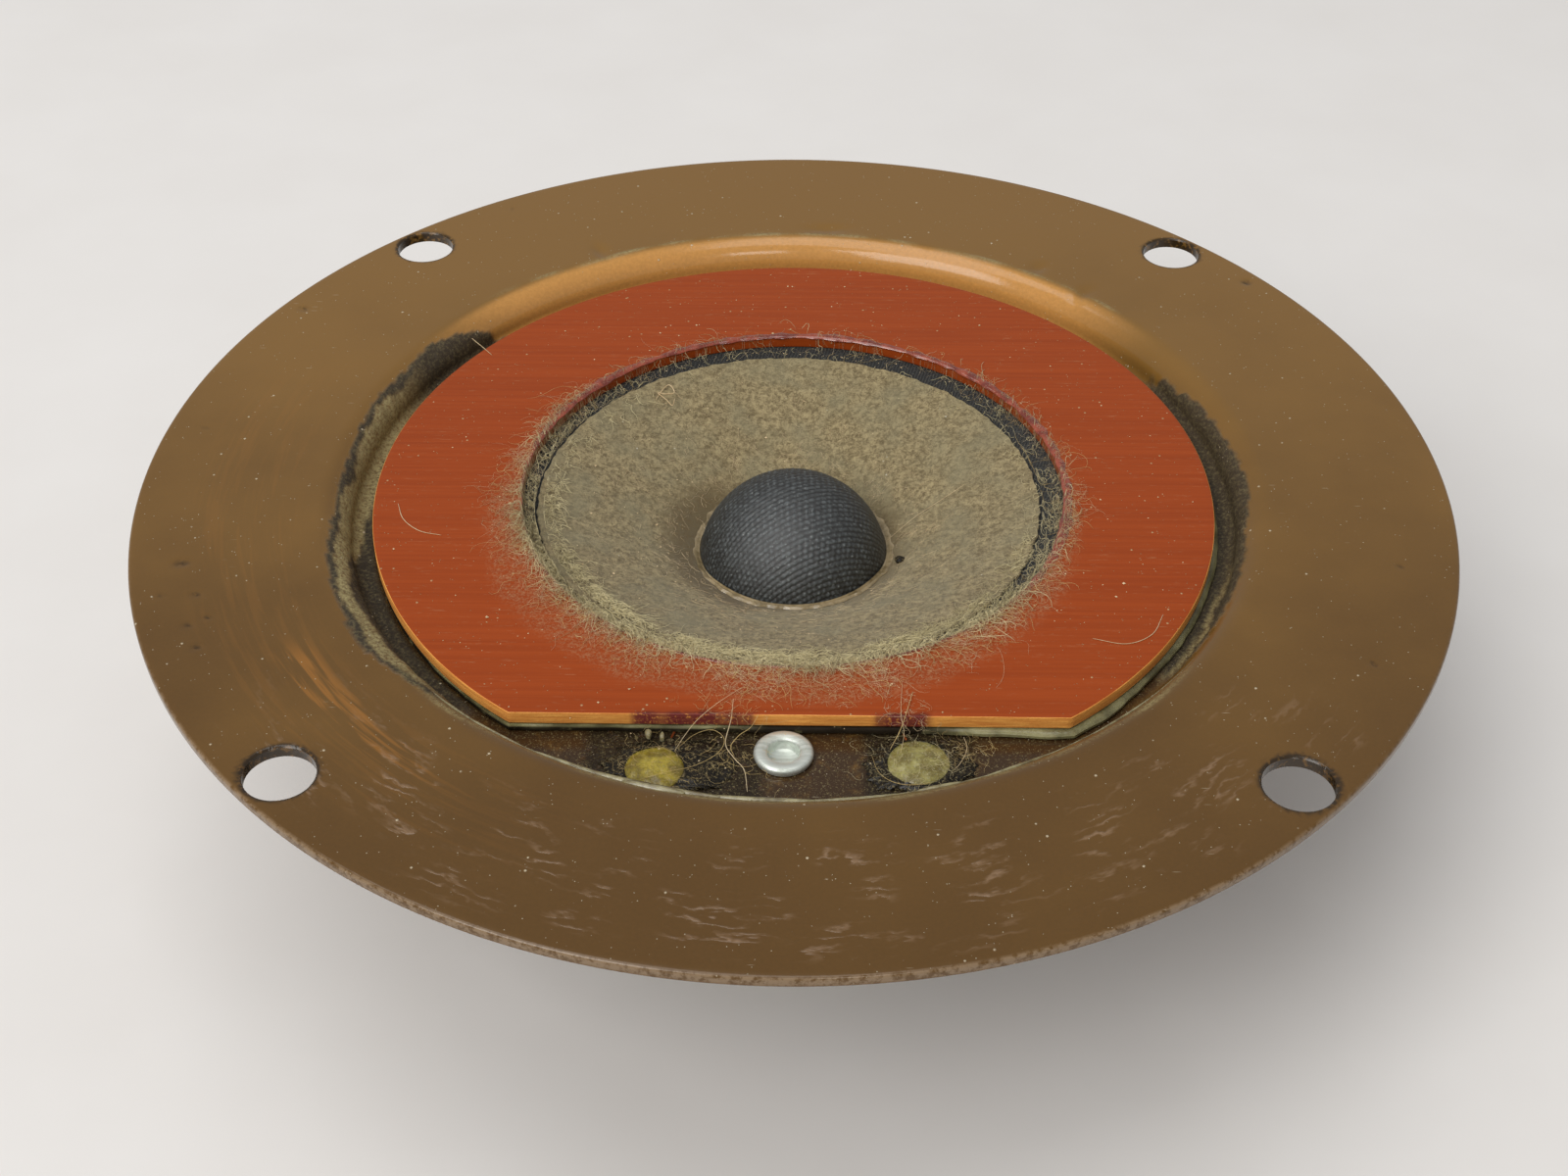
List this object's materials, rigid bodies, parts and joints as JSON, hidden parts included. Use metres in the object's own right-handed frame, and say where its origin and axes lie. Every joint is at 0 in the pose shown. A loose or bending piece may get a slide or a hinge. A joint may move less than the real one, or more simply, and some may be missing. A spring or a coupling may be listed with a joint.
{
  "type": "cone tweeter",
  "caption": "Small paper-cone tweeter with a cloth dust cap, held by a phenolic ring in a round pressed steel mounting plate, with a ring magnet motor behind.",
  "frame": {"origin": "middle of the motor's back face, which the part stands on", "axes": "+Z along the cone's axis, out of the front; the terminals and the ring's straight edge are on the -Y side"},
  "size_m": [0.1142, 0.1142, 0.034],
  "materials": {
    "brown_paint": "glossy brown paint over pressed steel, worn and scratched",
    "phenolic": "red-brown paper phenolic, satin and finely brushed, tan at its cut edge",
    "board": "brown fibre board",
    "strip_board": "brown paper phenolic",
    "cement": "grey set cement",
    "black_cloth": "black treated cloth, fluffy with dust",
    "dome_cloth": "black woven cloth with a satin sheen",
    "paper": "grey-brown felted paper pulp",
    "clear_glue": "clear yellowed glue",
    "amber_cement": "glossy amber cement",
    "tar": "glossy black tar",
    "aluminium": "dull bare aluminium",
    "plated_steel": "dull plated steel",
    "tinned_brass": "dull tinned brass",
    "ferrite": "matt grey ferrite",
    "felt": "grey wool felt",
    "former_paper": "tan paper",
    "spider_cloth": "stiffened amber cloth",
    "copper": "enamelled copper wire"
  },
  "bodies": {
    "frame": {"mounting_plate": "brown_paint", "rear_cup": "brown_paint", "phenolic_ring": "phenolic", "ring_cement": "cement", "surround_gasket": "board", "surround": "black_cloth", "spider": "spider_cloth", "spider_spacer": "board", "cup_felt": "felt", "pole_felt": "felt", "front_pole_plate": "plated_steel", "magnet_ring": "ferrite", "back_plate": "plated_steel", "pole_piece": "plated_steel", "terminal_strip": "strip_board", "strip_rivet": "aluminium", "frame_rivet_1": "aluminium", "frame_rivet_2": "aluminium", "frame_rivet_3": "aluminium", "frame_rivet_4": "aluminium", "solder_lug_left": "tinned_brass", "eyelet_left": "tinned_brass", "lead_plug_left": "amber_cement", "lead_seal_left": "tar", "lead_wire_left": "copper", "solder_lug_right": "tinned_brass", "eyelet_right": "tinned_brass", "lead_plug_right": "amber_cement", "lead_seal_right": "tar", "lead_wire_right": "copper"},
    "moving_parts": {"cone": "paper", "dust_cap": "dome_cloth", "dust_cap_glue": "clear_glue", "coil_former": "former_paper", "coil_winding": "copper"}
  },
  "joints": [
    {"name": "cone_travel", "type": "slide", "parent": "frame", "child": "moving_parts", "axis": [0, 0, 1], "range_m": [-0.0005, 0.0005], "stiffness_N_per_m": 2000, "deforming": ["surround", "spider", "lead_wire_left", "lead_wire_right"]}
  ]
}
